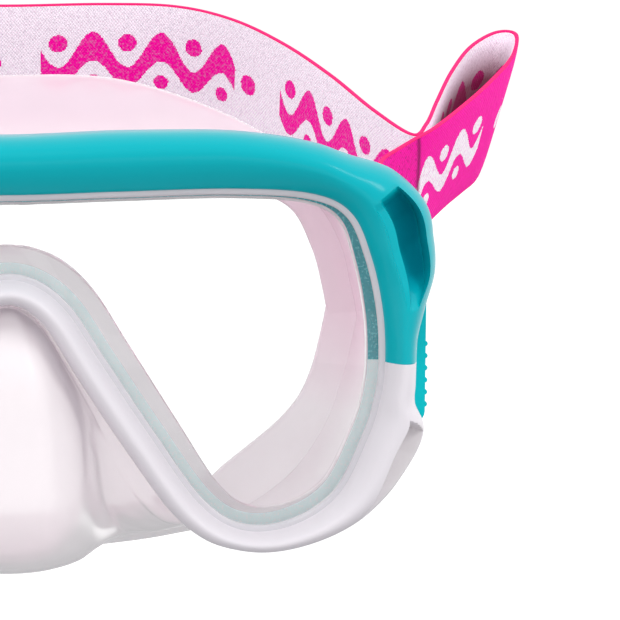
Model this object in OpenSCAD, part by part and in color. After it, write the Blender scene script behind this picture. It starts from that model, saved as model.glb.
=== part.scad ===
// Junior dive mask: one glass window in a two-part frame, a clear silicone skirt with a nose pocket,
// and an elastic head strap on two swivelling lock-lever buckles.
// Origin: centre of the face seal. +Y points to the wearer, the window faces -Y, +Z is up.
// Left and right are the wearer's, so the left side is +X.

/* [Window and frame] */
// Width of the opening in the frame
window_w = 134; // [112:1:160]
// Height of the opening in the frame
window_h = 61; // [51:1:73]
// Thickness of the tempered glass
glass_t = 4; // [3:0.5:5]
// Front of the glass to the rear face of the frame
frame_depth = 10; // [9:0.5:12]
// Height of the rounded crest in front of the glass
crest_h = 5; // [4:0.5:6]
// Depth of the leaf-shaped recess in each ear
recess_depth = 4.5; // [2:0.5:5]

/* [Skirt] */
// Front of the glass to the face seal
seal_depth = 44; // [40:1:52]
// Wall thickness of the skirt
skirt_t = 1.8; // [1.2:0.1:2.4]
// Thickness of the sealing flanges at their edges
flange_t = 0.8; // [0.5:0.1:1.2]

/* [Strap] */
// Width of the elastic webbing
strap_w = 28; // [22:1:34]
// Thickness of the elastic webbing
strap_t = 1.6; // [1.2:0.1:2]
// Swivel pin to the back of the strap
strap_reach = 126; // [105:1:155]
// Upward tilt of the strap as it lies at rest
strap_tilt = 22.5; // [10:0.5:25]

/* [Buckles] */
// Swivel axis behind the front of the glass
swivel_y = 22; // [21:0.5:26]
// Height of the swivel axis
swivel_z = -1; // [-3:0.5:2]
// Radius of the swivel pin
pin_r = 2; // [1.6:0.1:2.4]
// Radius of the steel strap bar
bar_r = 1.6; // [1.2:0.1:2]
// Thickness of the buckle plate
buckle_t = 3.4; // [2.8:0.1:4]
// Radius of the lever pin
lever_pin_r = 0.8; // [0.6:0.1:1]
// Radius of the screws that hold the buckle mounts
screw_r = 1.1; // [0.9:0.1:1.3]

/* [Hidden] */
$fn = 48;

fit = 0.1;               // gap between fixed pieces that nest
run = 0.05;              // radial clearance of a running fit
free = 0.3;              // gap beside a moving piece

// ---- outline of the window ----------------------------------------------------------------------
// Right half of the opening, from the middle of the top edge round to the top of the nose arch.
half_outline = [[0, 26.3], [20, 26.8], [40, 27.2], [54, 26.2], [61, 22.6], [64.6, 14.5], [66.6, 5],
    [67, -4], [66.2, -10.5], [64, -17.5], [58.5, -28], [50, -33.4], [41, -33.9], [33.5, -29],
    [25, -17], [16, -3.2], [10.5, 5.4], [5.4, 9.9], [0, 11.4]];
// Width of the frame's face at every half step of that outline.
half_face = [10.3, 10.4, 10.5, 10.3, 10, 9.4, 8.8, 8.7, 11.2, 13.2, 12.6, 11.3, 8.6, 6.6, 6.2, 6.4, 7.1,
    9.9, 10.1, 8.9, 6.8, 5.3, 4.4, 4, 3.9, 4.4, 4.8, 5, 5.1, 5.1, 5, 4.9, 4.8, 4.7, 4.6, 4.6, 4.6];
// Depth of its outer edge and share of the recess at every whole step.
half_edge = [2.2, 2.2, 2.4, 4, 6.2, 7, 6, 5, 6, 6.2, 4, 2, 1.5, 1.5, 1.5, 1.5, 1.5, 1.5, 1.5];
half_recess = [0, 0, 0, 0, 0.55, 1, 0, 0, 0, 0.6, 0, 0, 0, 0, 0, 0, 0, 0, 0];
LAST = len(half_outline) - 1;
CTRL = 2 * LAST;
STEPS = 3;
RING = CTRL * STEPS;
SEAM = 7 * STEPS;                       // station where the upper and lower frame meet

sx = window_w / 134;
sz = window_h / 61;
side_x = window_w / 2;

function mirrored(half) = concat(half, [for (i = [LAST - 1:-1:1]) [-half[i][0], half[i][1]]]);
function repeated(half) = concat(half, [for (i = [len(half) - 2:-1:1]) half[i]]);
function blend(a, b, c, d, t) = 0.5 * (2 * b + (c - a) * t + (2 * a - 5 * b + 4 * c - d) * t * t
    + (3 * b - a - 3 * c + d) * t * t * t);
function around(list, s) = let (n = len(list), i = floor(s), t = s - i)
    blend(list[(i + n - 1) % n], list[i % n], list[(i + 1) % n], list[(i + 2) % n], t);
function unit(v) = v / norm(v);
function lerp(a, b, t) = a + (b - a) * t;

outline = mirrored([for (p = half_outline) [p[0] * sx, p[1] * sz]]);
faces = repeated(half_face);
edges = repeated(half_edge);
recesses = repeated(half_recess);
outline_pts = [for (k = [0:RING - 1]) around(outline, k / STEPS)];
normals = [for (k = [0:RING - 1]) let (d = unit(outline_pts[(k + 1) % RING]
    - outline_pts[(k + RING - 1) % RING])) [-d[1], d[0]]];
// A point of the cross-section at station k: u outward from the opening, v back from the glass front.
function at(k, u, v) = let (i = (k + RING) % RING, p = outline_pts[i] + u * normals[i]) [p[0], v, p[1]];

module seat() {
    translate([0, -seal_depth, 0]) children();
}
module both_sides() {
    children();
    mirror([1, 0, 0]) children();
}

// Skin over a list of cross-sections that all have the same number of points.
module skin(rings, closed = false) {
    n = len(rings);
    m = len(rings[0]);
    last = closed ? n - 1 : n - 2;
    sides = [for (i = [0:last], j = [0:m - 1], half = [0, 1])
        let (a = i * m + j, b = i * m + (j + 1) % m, c = ((i + 1) % n) * m + (j + 1) % m,
            d = ((i + 1) % n) * m + j) half == 0 ? [a, b, c] : [a, c, d]];
    caps = closed ? [] : [[for (j = [m - 1:-1:0]) j], [for (j = [0:m - 1]) (n - 1) * m + j]];
    polyhedron([for (r = rings) each r], concat(sides, caps), convexity = 12);
}

// ---- frame -----------------------------------------------------------------------------------------
rim_out = 1.9;           // outer wall of the channel for the skirt's rim
rim_front = 0.8;         // silicone in front of the glass
rim_back = 2.6;          // silicone behind the glass
lip_in = 1.4;            // rear lip of the frame, inside the edge of the opening
bead_in = 1.1;           // silicone bead in front of the glass, inside the edge of the opening
front_u = [0, 0.06, 0.14, 0.26, 0.38, 0.46, 0.52, 0.6, 0.72, 0.79, 0.86, 0.93, 1];
dip = [0, 0, 0, 0, 0, 0.7, 1, 1, 0.8, 0.5, 0, 0, 0];

function face_v(s, edge) = s < 0.5 ? -1.6 - (crest_h - 1.6) * sin(180 * s)
    : -crest_h + (edge + crest_h) * (1 - sqrt(max(0, 1 - pow((s - 0.5) / 0.5, 2.4))));
function frame_section(k) = let (i = (k + RING) % RING, s = i / STEPS, w = around(faces, 2 * s),
        edge = around(edges, s), pit = recess_depth * max(0, around(recesses, s)),
        channel = glass_t + rim_back + fit)
    concat([for (j = [0:len(front_u) - 1]) at(k, front_u[j] * w,
            min(face_v(front_u[j], edge) + pit * dip[j], edge))],
        [at(k, w, frame_depth - 1.2), at(k, w - 1.2, frame_depth), at(k, -lip_in, frame_depth),
            at(k, -lip_in, channel), at(k, rim_out, channel), at(k, rim_out, -rim_front - fit),
            at(k, 0, -rim_front - fit)]);

// ---- places on the frame that the buckle mounts use -----------------------------------------------
function on_frame(s, u) = let (p = around(outline, s), q = around(outline, s + 0.05),
    d = unit(q - p)) p + u * [-d[1], d[0]];
screw_up = on_frame(5.1, 7);
screw_low = on_frame(8.25, 4.8);
screw_tip = 6.4;
mount_t = 3.5;
mount_y = frame_depth + fit;
lug_t = 2.4;
lug_r = pin_r + 3;
buckle_x = side_x + lug_t + free;
outer_lug_x = buckle_x + buckle_t + free;
pin_end = outer_lug_x + lug_t;
head_t = 0.8;
clip_t = 0.6;

module frame_holes() {
    for (p = [screw_up, screw_low])
        translate([p[0], screw_tip - 0.2, p[1]]) rotate([-90, 0, 0])
            cylinder(r = screw_r - 0.15, h = frame_depth);
}
module frame_piece(first, last) {
    difference() {
        skin([for (k = [first:last]) frame_section(k)]);
        both_sides() frame_holes();
    }
}
module frame_upper() {
    color("#00B9C4") seat() frame_piece(-SEAM, SEAM);
}
module frame_lower() {
    color("#F4F4F8") seat() frame_piece(SEAM, RING - SEAM);
}

// ---- window glass ------------------------------------------------------------------------------------
glass_out = 1.3;
module lens() {
    color("#DDEEEC", 0.4) seat() translate([0, glass_t, 0]) rotate([90, 0, 0])
        linear_extrude(glass_t)
            polygon([for (k = [0:RING - 1]) outline_pts[k] + glass_out * normals[k]]);
}

// ---- skirt -------------------------------------------------------------------------------------------
// Right half of the line where the two sealing flanges part, and how far each flange reaches.
half_seal = [[0, 34, 33], [18, 34.5, 32.6], [34, 35.5, 29.6], [47, 36, 25.2], [56, 36, 19.6],
    [60.6, 36, 12], [62.2, 35.5, 4], [62, 35, -4], [60.8, 34.5, -11], [58.4, 34, -18], [53.5, 34, -26],
    [46.5, 33, -32], [38.5, 32, -36], [30.5, 31, -38], [24.5, 30, -38.8], [18.5, 29, -39.2],
    [12.5, 28, -39.5], [6, 27.5, -39.8], [0, 27.3, -40]];
half_outer = [12.5, 12.5, 11, 9, 6.5, 5, 4.4, 4.2, 4.2, 4.6, 5, 4.6, 4, 3.4, 3.3, 3.3, 3.3, 3.3, 3.3];
half_inner = [8, 8, 7.5, 6, 4, 3, 3, 3.5, 4.5, 6, 8, 8, 6, 5, 4.5, 4, 4, 4, 4];
// Middle of the wall where it passes behind and under the nose arch and round the nose pocket, for the
// outline points from the foot of the arch to its top.
nose_walls = [
    [[29.2, 12, -33], [28.4, 14, -34.2], [27.8, 16.5, -35.2], [27.2, 19, -36.2], [27.2, 21.5, -37],
        [27.6, 24.5, -37.6]],
    [[19.8, 12, -20.5], [18.4, 12.8, -23], [17.2, 14.2, -26], [17, 16, -30], [18, 19, -34],
        [20.2, 23.5, -37.4]],
    [[10.9, 11.6, -6.5], [11.4, 6.4, -9.5], [12.4, 4, -15], [13.2, 4, -24], [13.5, 5.6, -33],
        [15.2, 14, -38.6]],
    [[5.8, 11.6, 1.6], [6.4, 4, -0.4], [8.6, -1.9, -7], [10, -2.4, -20], [10.4, -1.4, -33.5],
        [12, 11, -40.4]],
    [[2.4, 11.6, 4.8], [2.7, 4.5, 3.2], [3.6, -4, -4], [4.4, -5, -18], [5, -3.8, -35],
        [6.2, 9, -41.6]],
    [[0, 11.6, 5.6], [0, 5, 4.2], [0, -4.2, -3], [0, -5.2, -18], [0, -4.2, -35.6], [0, 8.4, -42]]];
NOSE = LAST - len(nose_walls) + 1;

function mirror3(half) = concat(half, [for (i = [LAST - 1:-1:1])
    [-half[i][0], half[i][1], half[i][2]]]);
function scaled(p) = [p[0] * sx, p[1] > 20 ? p[1] + (seal_depth - 44) * (p[1] - 20) / 14 : p[1],
    p[2] * sz];
seal = mirror3([for (p = half_seal) scaled(p)]);
rim_mid = lip_in + fit + skirt_t / 2;
rim_in = lip_in + fit + skirt_t + 0.1;
rim_exit = frame_depth + 0.5;
half_walls = [for (i = [0:LAST]) let (a = at(i * STEPS, -rim_mid, rim_exit), b = seal[i])
    i < NOSE ? [for (j = [1:6]) lerp(a, b, j / 7)] : [for (p = nose_walls[i - NOSE]) scaled(p)]];
function wall_line(j) = mirror3([for (w = half_walls) w[j]]);
walls = [for (j = [0:5]) wall_line(j)];
outer_reach = repeated(half_outer);
inner_reach = repeated(half_inner);

function seal_at(k) = around(seal, (k % RING) / STEPS);
function seal_normal(k) = let (d = seal_at(k + 1) - seal_at(k + RING - 1)) unit([-d[2], 0, d[0]]);
function middle(k) = let (s = (k % RING) / STEPS)
    concat([at(k, -rim_mid, rim_exit)], [for (w = walls) around(w, s)], [seal_at(k)]);
middles = [for (k = [0:RING - 1]) middle(k)];
function wall_normal(k, j) = let (along = middles[(k + 1) % RING][j] - middles[(k + RING - 1) % RING][j],
    back = middles[k][min(j + 1, 7)] - middles[k][max(j - 1, 0)]) unit(cross(along, back));
function skirt_section(k) = let (
        s = k / STEPS,
        rear = glass_t + rim_back,
        c = seal_at(k),
        n = seal_normal(k),
        tip = c + around(outer_reach, s) * n + [0, seal_depth - 35.5 - (35 - c[1]) * 0.25, 0],
        inner = c - around(inner_reach, s) * n + [0, 2.6, 0],
        bend_out = lerp(c, tip, 0.5) - 0.8 * n,
        bend_in = lerp(c, inner, 0.5) + [0, 1, 0],
        thin = [0, flange_t / 2, 0],
        mid_n = skirt_t * 0.4 * n)
    concat(
        [at(k, -bead_in, -rim_front), at(k, rim_out - fit, -rim_front), at(k, rim_out - fit, rear),
            at(k, -lip_in - fit, rear), at(k, -lip_in - fit, rim_exit)],
        [for (j = [1:6]) middles[k][j] + skirt_t / 2 * wall_normal(k, j)],
        [c + mid_n, bend_out + mid_n, tip + flange_t / 2 * n, tip - flange_t / 2 * n + thin,
            bend_out - mid_n, c + [0, skirt_t / 2, 0], bend_in + thin, inner + thin, inner - thin,
            bend_in - [0, skirt_t / 2, 0], c - mid_n],
        [for (j = [6:-1:1]) middles[k][j] - skirt_t / 2 * wall_normal(k, j)],
        [at(k, -lip_in - fit - skirt_t, rim_exit), at(k, -rim_in, rear), at(k, -rim_in, glass_t + run),
            at(k, glass_out + run, glass_t + run), at(k, glass_out + run, -run), at(k, -bead_in, -run)]);
module skirt() {
    color("#E4E0E4", 0.6) seat() skin([for (k = [0:RING - 1]) skirt_section(k)], closed = true);
}

// ---- buckle mounts -----------------------------------------------------------------------------------
boss = 4.6;
mid_boss = [side_x + 4, swivel_z];
tip_boss = on_frame(8.3, 7.9);
tip_r = 2.5;
mid_edge = mid_boss + [boss + 0.35, 0];
tip_edge = tip_boss + [tip_r - 0.05, 0];
rib_r = 0.5;
module lug_profile() {
    root = mount_y + mount_t / 2 - swivel_y;
    circle(r = lug_r);
    translate([root, -lug_r]) square([-root, 2 * lug_r]);
}
// Turns a profile drawn in (y, z) into a plate of thickness t that starts at x.
module plate(x, t) {
    translate([x, 0, 0]) rotate([90, 0, 90]) linear_extrude(t) children();
}
module mount() {
    difference() {
        union() {
            translate([0, mount_y + mount_t, 0]) rotate([90, 0, 0]) linear_extrude(mount_t) hull() {
                translate(screw_up) circle(r = boss);
                translate(mid_boss) circle(r = boss + 0.4);
                translate(screw_low) circle(r = boss);
                translate(tip_boss) circle(r = tip_r);
            }
            for (x = [side_x, outer_lug_x])
                translate([0, swivel_y, swivel_z]) plate(x, lug_t) lug_profile();
            for (i = [0:5]) {
                low = lerp(mid_edge, tip_edge, (i + 0.5) / 6);
                translate([low[0], mount_y + mount_t / 2, low[1]])
                    rotate([90, 0, 0]) cylinder(r = rib_r, h = mount_t - 0.6, center = true);
            }
        }
        translate([side_x - 1, swivel_y, swivel_z]) rotate([0, 90, 0])
            cylinder(r = pin_r, h = pin_end - side_x + 2);
        for (p = [screw_up, screw_low])
            translate([p[0], mount_y - 1, p[1]]) rotate([-90, 0, 0]) {
                cylinder(r = screw_r + run, h = mount_t + 2);
                translate([0, 0, mount_t - 0.4]) cylinder(r = 2 * screw_r + fit, h = 3);
            }
    }
}
module buckle_mount_left() {
    color("#00CED8") seat() mount();
}
module buckle_mount_right() {
    color("#00CED8") seat() mirror([1, 0, 0]) mount();
}
module mount_screw() {
    difference() {
        union() {
            cylinder(r = screw_r, h = mount_y + mount_t - 0.4 - screw_tip);
            translate([0, 0, mount_y + mount_t - 1.4 - screw_tip]) cylinder(r = 2 * screw_r, h = 1.2);
        }
        translate([0, 0, mount_y + mount_t - 0.8 - screw_tip]) {
            translate([-2.5, -0.25, 0]) cube([5, 0.5, 2]);
            translate([-0.25, -2.5, 0]) cube([0.5, 5, 2]);
        }
    }
}
module mount_screws() {
    color("silver") seat() both_sides() for (p = [screw_up, screw_low])
        translate([p[0], screw_tip, p[1]]) rotate([-90, 0, 0]) mount_screw();
}

// ---- swivel pins and their clips -----------------------------------------------------------------
module on_swivel(x) {
    translate([x, swivel_y, swivel_z]) rotate([0, 90, 0]) children();
}
module pivot_pins() {
    color("silver") seat() both_sides() on_swivel(side_x - head_t) difference() {
        union() {
            cylinder(r = pin_r + 1, h = head_t);
            cylinder(r = pin_r, h = pin_end - side_x + head_t + clip_t + 1);
        }
        translate([0, 0, pin_end - side_x + head_t]) difference() {
            cylinder(r = pin_r + 1, h = clip_t);
            translate([0, 0, -1]) cylinder(r = pin_r - 0.5, h = clip_t + 2);
        }
    }
}
module pivot_clips() {
    color("silver") seat() both_sides() on_swivel(pin_end) difference() {
        cylinder(r = pin_r + 1.3, h = clip_t);
        translate([0, 0, -1]) cylinder(r = pin_r - 0.5, h = clip_t + 2);
        translate([0, -0.9, -1]) cube([pin_r + 2, 1.8, clip_t + 2]);
    }
}

// ---- swinging buckles ---------------------------------------------------------------------------------
// Inside swing(), x stays, y runs along the strap from the swivel axis and z runs across the strap.
bar_y = 24;
bar_x = buckle_x + buckle_t / 2;
rail_in = strap_w / 2 + 0.4;
rail_t = 3;
rail_out = rail_in + rail_t;
cross_y = 9;
cross_t = 4;
ladder_end = 32;
lever_y = 16;
lever_x = buckle_x + buckle_t + 2.3;
lever_hub = 2;
slot_half = 3;
module swing() {
    seat() translate([0, swivel_y, swivel_z]) rotate([strap_tilt, 0, 0]) children();
}
module ladder_outline() {
    difference() {
        union() {
            hull() {
                circle(r = lug_r - 0.5);
                translate([cross_y, -rail_out / 2]) square([cross_t, rail_out]);
            }
            hull() for (z = [-1, 1], y = [cross_y + 1.5, ladder_end - 1.5])
                translate([y, z * (rail_out - 1.5)]) circle(r = 1.5);
        }
        translate([cross_y + cross_t, -rail_in]) square([ladder_end - cross_y - cross_t - 2, 2 * rail_in]);
    }
}
module buckle() {
    difference() {
        union() {
            plate(buckle_x, buckle_t) ladder_outline();
            for (z = [-rail_out, rail_in]) translate([0, 0, z]) {
                translate([lever_x, lever_y, 0]) cylinder(r = 2, h = rail_t);
                translate([buckle_x, lever_y - 2, 0]) cube([lever_x - buckle_x, 4, rail_t]);
            }
        }
        translate([buckle_x - 1, 0, 0]) rotate([0, 90, 0]) cylinder(r = pin_r + run, h = buckle_t + 2);
        translate([bar_x, bar_y, 0]) cylinder(r = bar_r, h = 3 * rail_out, center = true);
        translate([lever_x, lever_y, 0]) cylinder(r = lever_pin_r, h = 3 * rail_out, center = true);
        for (side = [0, 1]) translate([buckle_x - 1 + side * (buckle_t + 0.5), ladder_end - 3, -rail_in])
            cube([1.5, 4, 2 * rail_in]);
    }
}
module buckle_left() {
    color("#00CED8") swing() buckle();
}
module buckle_right() {
    color("#00CED8") mirror([1, 0, 0]) swing() buckle();
}
module strap_bar() {
    translate([bar_x, bar_y, 0]) cylinder(r = bar_r, h = 2 * rail_out - 0.4, center = true);
}
module strap_bar_left() {
    color("silver") swing() strap_bar();
}
module strap_bar_right() {
    color("silver") mirror([1, 0, 0]) swing() strap_bar();
}

// ---- lock levers --------------------------------------------------------------------------------------
module lever_profile() {
    translate([lever_x, lever_y]) circle(r = lever_hub);
    translate([lever_x - 0.2, lever_y]) square([lever_hub - 0.2, 6.5]);
    translate([lever_x + 0.2, lever_y - 7.6]) square([lever_hub - 0.4, 7.6]);
    translate([lever_x + 1, lever_y - 7]) circle(r = 1.1);
}
module lock_lever() {
    half_w = rail_in - 0.6;
    difference() {
        translate([0, 0, -half_w]) linear_extrude(2 * half_w) lever_profile();
        translate([lever_x, lever_y, -half_w - 1]) cylinder(r = lever_pin_r + run, h = 2 * half_w + 2);
        translate([lever_x, lever_y, -slot_half])
            cylinder(r = lever_hub + 0.3, h = 2 * slot_half);
        translate([lever_x - 3, lever_y - 6, -slot_half]) cube([4, 6, 2 * slot_half]);
    }
}
module lock_lever_left() {
    color("#0096A4") swing() lock_lever();
}
module lock_lever_right() {
    color("#0096A4") mirror([1, 0, 0]) swing() lock_lever();
}
module lever_pin() {
    translate([lever_x, lever_y, 0]) cylinder(r = lever_pin_r, h = 2 * rail_out - 0.4, center = true);
}
module lever_pin_left() {
    color("silver") swing() lever_pin();
}
module lever_pin_right() {
    color("silver") mirror([1, 0, 0]) swing() lever_pin();
}

// ---- lever springs -------------------------------------------------------------------------------------
wire_r = 0.25;
coil_r = lever_pin_r + wire_r + 0.25;
coil_turns = 4;
coil_half = 2;
coil_step = 24;
spring_path = concat(
    [[lever_x - 2, lever_y - 5, -coil_half], [lever_x - coil_r, lever_y - 2.5, -coil_half]],
    [for (a = [0:coil_step:360 * coil_turns]) [lever_x - coil_r * cos(a), lever_y + coil_r * sin(a),
        -coil_half + 2 * coil_half * a / (360 * coil_turns)]],
    [[lever_x - coil_r, lever_y - 2.5, coil_half], [lever_x - coil_r + 0.4, lever_y - 5.4, coil_half]]);
function tube_ring(path, i, r) = let (d = unit(path[min(i + 1, len(path) - 1)] - path[max(i - 1, 0)]),
    e = unit(cross(d, [0, 0, 1] + 0.3 * [d[1], d[0], 0])), f = cross(d, e))
    [for (a = [0:60:300]) path[i] + r * (cos(a) * e - sin(a) * f)];
module lever_spring() {
    skin([for (i = [0:len(spring_path) - 1]) tube_ring(spring_path, i, wire_r)]);
}
module lever_spring_left() {
    color("silver") swing() lever_spring();
}
module lever_spring_right() {
    color("silver") mirror([1, 0, 0]) swing() lever_spring();
}

// ---- strap -------------------------------------------------------------------------------------------
// Plan of the webbing in the swing frame, from the middle of the back to the tail behind the bar:
// the upper edge and the lower edge part where the sewn pull loop flares.
back_upper = [[0, 126], [22, 127], [38, 125.6], [50, 118], [60, 104.5], [68.5, 87.5]];
loop_upper = [[75.6, 69.5], [82, 57.6], [85.6, 62.6], [89.4, 74], [94.6, 89], [100.8, 102.6], [107.8, 110.8],
    [112, 109.4], [109, 97], [101.4, 82.5], [93.2, 69.5], [86.8, 60.4], [82.8, 56], [78.5, 51]];
loop_lower = [[76, 73], [82.4, 64.4], [85.6, 70.4], [88.6, 80.4], [92.2, 91.4], [96.6, 98.8], [101, 101.2],
    [103.6, 98], [101.8, 92.4], [98.2, 87], [93.4, 80], [88, 71], [84, 62.8], [79, 54]];
strap_turn_r = bar_r + run + strap_t / 2;
function ring_pt(p) = [p[0] * side_x / 67, 87.5 + (p[1] - 87.5) * (strap_reach - 87.5) / 38.5];
function loop_pt(p) = [p[0] + side_x - 67, p[1]];
front_run = concat(
    [for (p = [[74.6, 46], [73, 40]]) loop_pt(p)],
    [[bar_x + strap_turn_r, bar_y + 8], [bar_x + strap_turn_r, bar_y + 3]],
    [for (a = [0:-36:-180]) [bar_x + strap_turn_r * cos(a), bar_y + strap_turn_r * sin(a)]],
    [[bar_x - strap_turn_r, bar_y + 4], [bar_x - strap_turn_r, bar_y + 9]]);
function strap_half(loop) = concat([for (p = back_upper) ring_pt(p)], [for (p = loop) loop_pt(p)],
    front_run);
function strap_line(half) = concat([for (i = [len(half) - 1:-1:1]) [-half[i][0], half[i][1]]], half);
upper_line = strap_line(strap_half(loop_upper));
lower_line = strap_line(strap_half(loop_lower));
function open_at(list, s) = let (n = len(list), i = min(floor(s), n - 2), t = s - i)
    blend(list[max(i - 1, 0)], list[i], list[i + 1], list[min(i + 2, n - 1)], t);
function edge_pair(line, k, z) = let (s = k / STEPS, p = open_at(line, s),
        d = unit(open_at(line, min(s + 0.1, len(line) - 1)) - open_at(line, max(s - 0.1, 0))),
        n = strap_t / 2 * [-d[1], d[0]])
    [[p[0] + n[0], p[1] + n[1], z], [p[0] - n[0], p[1] - n[1], z]];
module strap() {
    last = (len(upper_line) - 1) * STEPS;
    color("#FF1FA6") swing() skin([for (k = [0:last])
        let (u = edge_pair(upper_line, k, strap_w / 2), w = edge_pair(lower_line, k, -strap_w / 2))
            [u[1], u[0], w[0], w[1]]]);
}

frame_upper();
frame_lower();
lens();
skirt();
buckle_mount_left();
buckle_mount_right();
mount_screws();
pivot_pins();
pivot_clips();
buckle_left();
buckle_right();
strap_bar_left();
strap_bar_right();
lock_lever_left();
lock_lever_right();
lever_pin_left();
lever_pin_right();
lever_spring_left();
lever_spring_right();
strap();
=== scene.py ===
"""Looks for the junior dive mask: window frame, glass, silicone skirt, swivel buckles and woven strap.

Lengths in the tables are millimetres in the mask's own plan: x to the wearer's left, y back from the
front of the glass, z up. put() turns them into metres in the frame's coordinates.
"""
import math

import bpy
import numpy as np
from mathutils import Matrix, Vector


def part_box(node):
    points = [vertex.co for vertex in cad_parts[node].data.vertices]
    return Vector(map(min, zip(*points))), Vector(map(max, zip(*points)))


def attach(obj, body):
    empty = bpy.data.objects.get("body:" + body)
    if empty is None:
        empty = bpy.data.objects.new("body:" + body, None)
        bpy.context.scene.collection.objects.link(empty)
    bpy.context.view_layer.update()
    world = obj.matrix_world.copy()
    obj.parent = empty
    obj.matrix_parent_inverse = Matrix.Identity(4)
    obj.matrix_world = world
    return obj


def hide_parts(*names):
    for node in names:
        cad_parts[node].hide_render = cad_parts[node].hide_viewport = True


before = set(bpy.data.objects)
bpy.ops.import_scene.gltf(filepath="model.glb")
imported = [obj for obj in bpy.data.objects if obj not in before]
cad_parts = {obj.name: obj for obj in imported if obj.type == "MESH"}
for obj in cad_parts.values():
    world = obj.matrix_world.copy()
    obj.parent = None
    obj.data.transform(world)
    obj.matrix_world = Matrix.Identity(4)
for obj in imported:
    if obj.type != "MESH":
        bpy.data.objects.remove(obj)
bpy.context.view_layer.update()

MM = 0.001
GLASS_T = 4.0
GLASS_OUT = 1.3          # the glass reaches this far into the rim's channel
OUTLINE_SIDE = 67.0      # the opening's half width and its height in OUTLINE, before it is scaled
OUTLINE_H = 61.5
lens_low, lens_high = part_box("lens")
FRONT_Y = lens_low.y
SIDE_X = lens_high.x / MM - GLASS_OUT
SCALE_X = SIDE_X / OUTLINE_SIDE
SCALE_Z = ((lens_high.z - lens_low.z) / MM - 2 * GLASS_OUT) / OUTLINE_H


def put(points):
    """Plan points in millimetres as frame coordinates in metres."""
    return np.asarray(points, float) * MM + np.array([0.0, FRONT_Y, 0.0])


# ---------------------------------------------------------------------------------------------------
# Curves
# ---------------------------------------------------------------------------------------------------
def spline(values, s, closed):
    """Catmull-Rom through values (n, d), at the parameters s, where value i lies at s = i."""
    values = np.asarray(values, float)
    if values.ndim == 1:
        return spline(values[:, None], s, closed)[:, 0]
    n = len(values)
    s = np.asarray(s, float)
    i = np.floor(s).astype(int)
    if not closed:
        i = np.clip(i, 0, n - 2)
    t = (s - i)[:, None]

    def pick(k):
        return values[k % n] if closed else values[np.clip(k, 0, n - 1)]

    a, b, c, d = pick(i - 1), pick(i), pick(i + 1), pick(i + 2)
    return 0.5 * (2 * b + (c - a) * t + (2 * a - 5 * b + 4 * c - d) * t ** 2
                  + (3 * b - a - 3 * c + d) * t ** 3)


def unit(v):
    """Vectors at length one."""
    return v / np.maximum(np.linalg.norm(v, axis=-1, keepdims=True), 1e-9)


def both_halves(half, flip):
    """A closed table from the half at positive x; flip says whether the first column changes sign."""
    half = np.asarray(half, float)
    if half.ndim == 1:
        return np.concatenate([half, half[-2:0:-1]])
    other = half[-2:0:-1].copy()
    if flip:
        other[:, 0] *= -1
    return np.concatenate([half, other])


def smooth(x):
    """A step from 0 to 1 that starts and ends level."""
    x = np.clip(x, 0.0, 1.0)
    return x * x * (3 - 2 * x)


# The opening's edge as (x, z), down the wearer's left half from the top middle to the nose arch.
OUTLINE = both_halves(np.array([
    [0, 26.3], [20, 26.8], [40, 27.2], [54, 26.2], [61, 22.6], [64.6, 14.5], [66.6, 5], [67, -4],
    [66.2, -10.5], [64, -17.5], [58.5, -28], [50, -33.4], [41, -33.9], [33.5, -29], [25, -17],
    [16, -3.2], [10.5, 5.4], [5.4, 9.9], [0, 11.4]]) * [SCALE_X, SCALE_Z], True)
TURNS = len(OUTLINE)
HALF = TURNS // 2
SEAM = 7.0               # the outline parameter where the teal half of the frame meets the white one


def outline(s):
    """Points (x, z) of the opening's edge."""
    return spline(OUTLINE, s, True)


def outward(s):
    """Unit vectors (x, z) that point away from the opening."""
    d = unit(outline(s + 0.04) - outline(s - 0.04))
    return np.stack([-d[:, 1], d[:, 0]], 1)


def table(half, s):
    """A width or depth listed at whole or half steps of the outline."""
    return spline(both_halves(half, False), s * (len(half) - 1) / HALF, True)


# ---------------------------------------------------------------------------------------------------
# Meshes
# ---------------------------------------------------------------------------------------------------
def mesh_object(name, grid, closed_rows, closed_cols, caps, sharp, body="root"):
    """A quad mesh over a grid (rows, columns, 3) of plan points, joined end to end where closed.

    caps closes its first and last row, and folds over sharp degrees stay sharp.
    """
    rows, cols = grid.shape[:2]
    verts = put(grid.reshape(-1, 3))
    faces = []
    for i in range(rows if closed_rows else rows - 1):
        i2 = (i + 1) % rows
        for j in range(cols if closed_cols else cols - 1):
            j2 = (j + 1) % cols
            faces.append((i * cols + j, i * cols + j2, i2 * cols + j2, i2 * cols + j))
    if caps:
        faces.append(tuple(range(cols - 1, -1, -1)))
        faces.append(tuple((rows - 1) * cols + j for j in range(cols)))
    mesh = bpy.data.meshes.new(name)
    mesh.from_pydata([tuple(v) for v in verts], [], faces)
    mesh.validate()
    mesh.shade_smooth()
    mesh.set_sharp_from_angle(angle=math.radians(sharp))
    obj = bpy.data.objects.new(name, mesh)
    bpy.context.scene.collection.objects.link(obj)
    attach(obj, body)
    return obj


def point_numbers(obj, name, values):
    """Stores a number on each point of a mesh made by mesh_object."""
    obj.data.attributes.new(name, "FLOAT", "POINT").data.foreach_set("value", values.ravel())


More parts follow.
